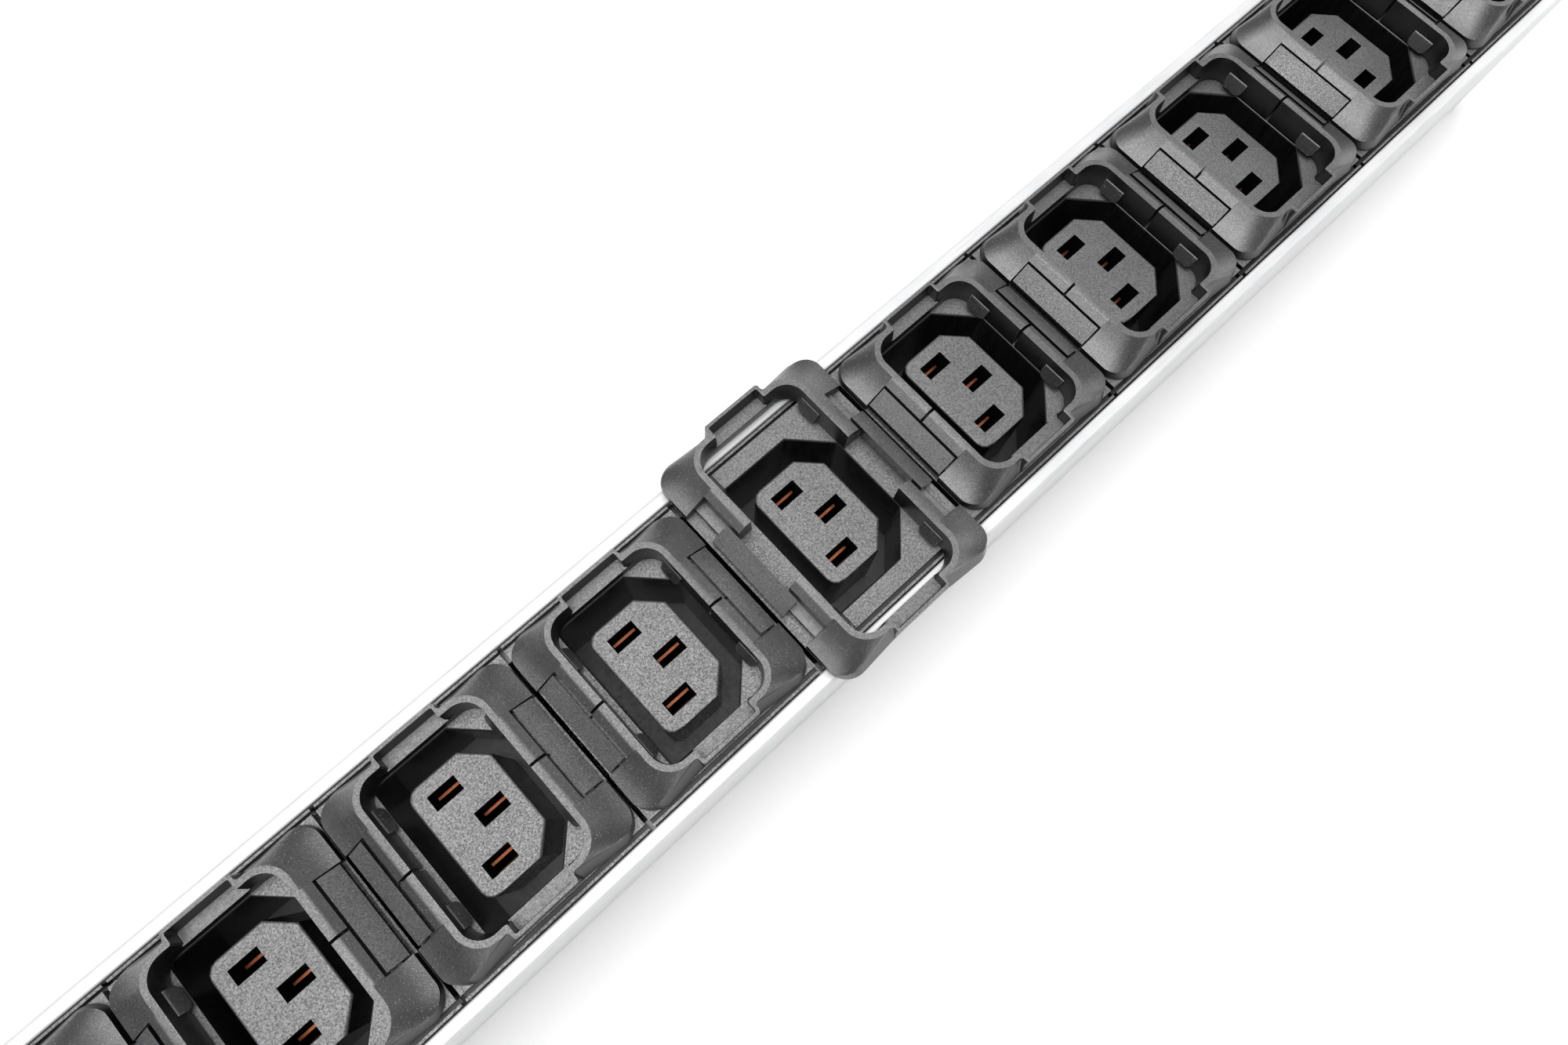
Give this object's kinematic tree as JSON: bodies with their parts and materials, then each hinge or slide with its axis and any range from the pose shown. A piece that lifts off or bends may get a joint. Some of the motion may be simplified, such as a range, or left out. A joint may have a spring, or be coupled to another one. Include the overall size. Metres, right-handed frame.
{
  "type": "rack power distribution unit",
  "caption": "Slim aluminium rack power strip with a row of sunken appliance outlets, each with a two-part locking collar that slides apart.",
  "frame": {"origin": "middle of the back face, under the centre of the whole length and width", "axes": "+Z out of the outlet face, +X along the row away from the cable gland, +Y across"},
  "size_m": [0.4562, 0.0494, 0.0584],
  "materials": {
    "anodised_aluminium": "satin clear anodised",
    "black_nylon": "fine spark texture",
    "collar_nylon": "fine spark texture with smooth rims",
    "copper_strip": "rolled copper alloy",
    "zinc_steel": "zinc plated",
    "seal_rubber": "matt"
  },
  "bodies": {
    "root": {"housing_extrusion": "anodised_aluminium", "outlet_module_01": "black_nylon", "outlet_module_02": "black_nylon", "outlet_module_03": "black_nylon", "outlet_module_04": "black_nylon", "outlet_module_05": "black_nylon", "outlet_module_06": "black_nylon", "outlet_module_07": "black_nylon", "outlet_module_08": "black_nylon", "outlet_module_09": "black_nylon", "outlet_module_10": "black_nylon", "input_cover": "black_nylon", "far_cover": "black_nylon", "contact_rail_line": "copper_strip", "contact_rail_neutral": "copper_strip", "contact_rail_earth": "copper_strip", "terminal_block": "black_nylon", "terminal_screw_line": "zinc_steel", "terminal_screw_neutral": "zinc_steel", "terminal_screw_earth": "zinc_steel", "input_cap": "black_nylon", "far_cap": "black_nylon", "input_cap_screw_1": "zinc_steel", "input_cap_screw_2": "zinc_steel", "input_cap_screw_3": "zinc_steel", "input_cap_screw_4": "zinc_steel", "far_cap_screw_1": "zinc_steel", "far_cap_screw_2": "zinc_steel", "far_cap_screw_3": "zinc_steel", "far_cap_screw_4": "zinc_steel", "gland_body": "black_nylon", "gland_locknut": "black_nylon", "gland_nut": "black_nylon", "gland_seal": "seal_rubber"},
    "collar_upper_01": {"collar_upper_01": "collar_nylon"},
    "collar_lower_01": {"collar_lower_01": "collar_nylon"},
    "collar_upper_02": {"collar_upper_02": "collar_nylon"},
    "collar_lower_02": {"collar_lower_02": "collar_nylon"},
    "collar_upper_03": {"collar_upper_03": "collar_nylon"},
    "collar_lower_03": {"collar_lower_03": "collar_nylon"},
    "collar_upper_04": {"collar_upper_04": "collar_nylon"},
    "collar_lower_04": {"collar_lower_04": "collar_nylon"},
    "collar_upper_05": {"collar_upper_05": "collar_nylon"},
    "collar_lower_05": {"collar_lower_05": "collar_nylon"},
    "collar_upper_06": {"collar_upper_06": "collar_nylon"},
    "collar_lower_06": {"collar_lower_06": "collar_nylon"},
    "collar_upper_07": {"collar_upper_07": "collar_nylon"},
    "collar_lower_07": {"collar_lower_07": "collar_nylon"},
    "collar_upper_08": {"collar_upper_08": "collar_nylon"},
    "collar_lower_08": {"collar_lower_08": "collar_nylon"},
    "collar_upper_09": {"collar_upper_09": "collar_nylon"},
    "collar_lower_09": {"collar_lower_09": "collar_nylon"},
    "collar_upper_10": {"collar_upper_10": "collar_nylon"},
    "collar_lower_10": {"collar_lower_10": "collar_nylon"}
  },
  "joints": [
    {"name": "collar_upper_01_slide", "type": "slide", "parent": "root", "child": "collar_upper_01", "axis": [0, 1, 0], "range_m": [0, 0.006]},
    {"name": "collar_lower_01_slide", "type": "slide", "parent": "root", "child": "collar_lower_01", "axis": [0, -1, 0], "range_m": [0, 0.006]},
    {"name": "collar_upper_02_slide", "type": "slide", "parent": "root", "child": "collar_upper_02", "axis": [0, 1, 0], "range_m": [0, 0.006]},
    {"name": "collar_lower_02_slide", "type": "slide", "parent": "root", "child": "collar_lower_02", "axis": [0, -1, 0], "range_m": [0, 0.006]},
    {"name": "collar_upper_03_slide", "type": "slide", "parent": "root", "child": "collar_upper_03", "axis": [0, 1, 0], "range_m": [0, 0.006]},
    {"name": "collar_lower_03_slide", "type": "slide", "parent": "root", "child": "collar_lower_03", "axis": [0, -1, 0], "range_m": [0, 0.006]},
    {"name": "collar_upper_04_slide", "type": "slide", "parent": "root", "child": "collar_upper_04", "axis": [0, 1, 0], "range_m": [0, 0.006]},
    {"name": "collar_lower_04_slide", "type": "slide", "parent": "root", "child": "collar_lower_04", "axis": [0, -1, 0], "range_m": [0, 0.006]},
    {"name": "collar_upper_05_slide", "type": "slide", "parent": "root", "child": "collar_upper_05", "axis": [0, 1, 0], "range_m": [-0.006, 0]},
    {"name": "collar_lower_05_slide", "type": "slide", "parent": "root", "child": "collar_lower_05", "axis": [0, -1, 0], "range_m": [-0.006, 0]},
    {"name": "collar_upper_06_slide", "type": "slide", "parent": "root", "child": "collar_upper_06", "axis": [0, 1, 0], "range_m": [0, 0.006]},
    {"name": "collar_lower_06_slide", "type": "slide", "parent": "root", "child": "collar_lower_06", "axis": [0, -1, 0], "range_m": [0, 0.006]},
    {"name": "collar_upper_07_slide", "type": "slide", "parent": "root", "child": "collar_upper_07", "axis": [0, 1, 0], "range_m": [0, 0.006]},
    {"name": "collar_lower_07_slide", "type": "slide", "parent": "root", "child": "collar_lower_07", "axis": [0, -1, 0], "range_m": [0, 0.006]},
    {"name": "collar_upper_08_slide", "type": "slide", "parent": "root", "child": "collar_upper_08", "axis": [0, 1, 0], "range_m": [0, 0.006]},
    {"name": "collar_lower_08_slide", "type": "slide", "parent": "root", "child": "collar_lower_08", "axis": [0, -1, 0], "range_m": [0, 0.006]},
    {"name": "collar_upper_09_slide", "type": "slide", "parent": "root", "child": "collar_upper_09", "axis": [0, 1, 0], "range_m": [0, 0.006]},
    {"name": "collar_lower_09_slide", "type": "slide", "parent": "root", "child": "collar_lower_09", "axis": [0, -1, 0], "range_m": [0, 0.006]},
    {"name": "collar_upper_10_slide", "type": "slide", "parent": "root", "child": "collar_upper_10", "axis": [0, 1, 0], "range_m": [0, 0.006]},
    {"name": "collar_lower_10_slide", "type": "slide", "parent": "root", "child": "collar_lower_10", "axis": [0, -1, 0], "range_m": [0, 0.006]}
  ]
}
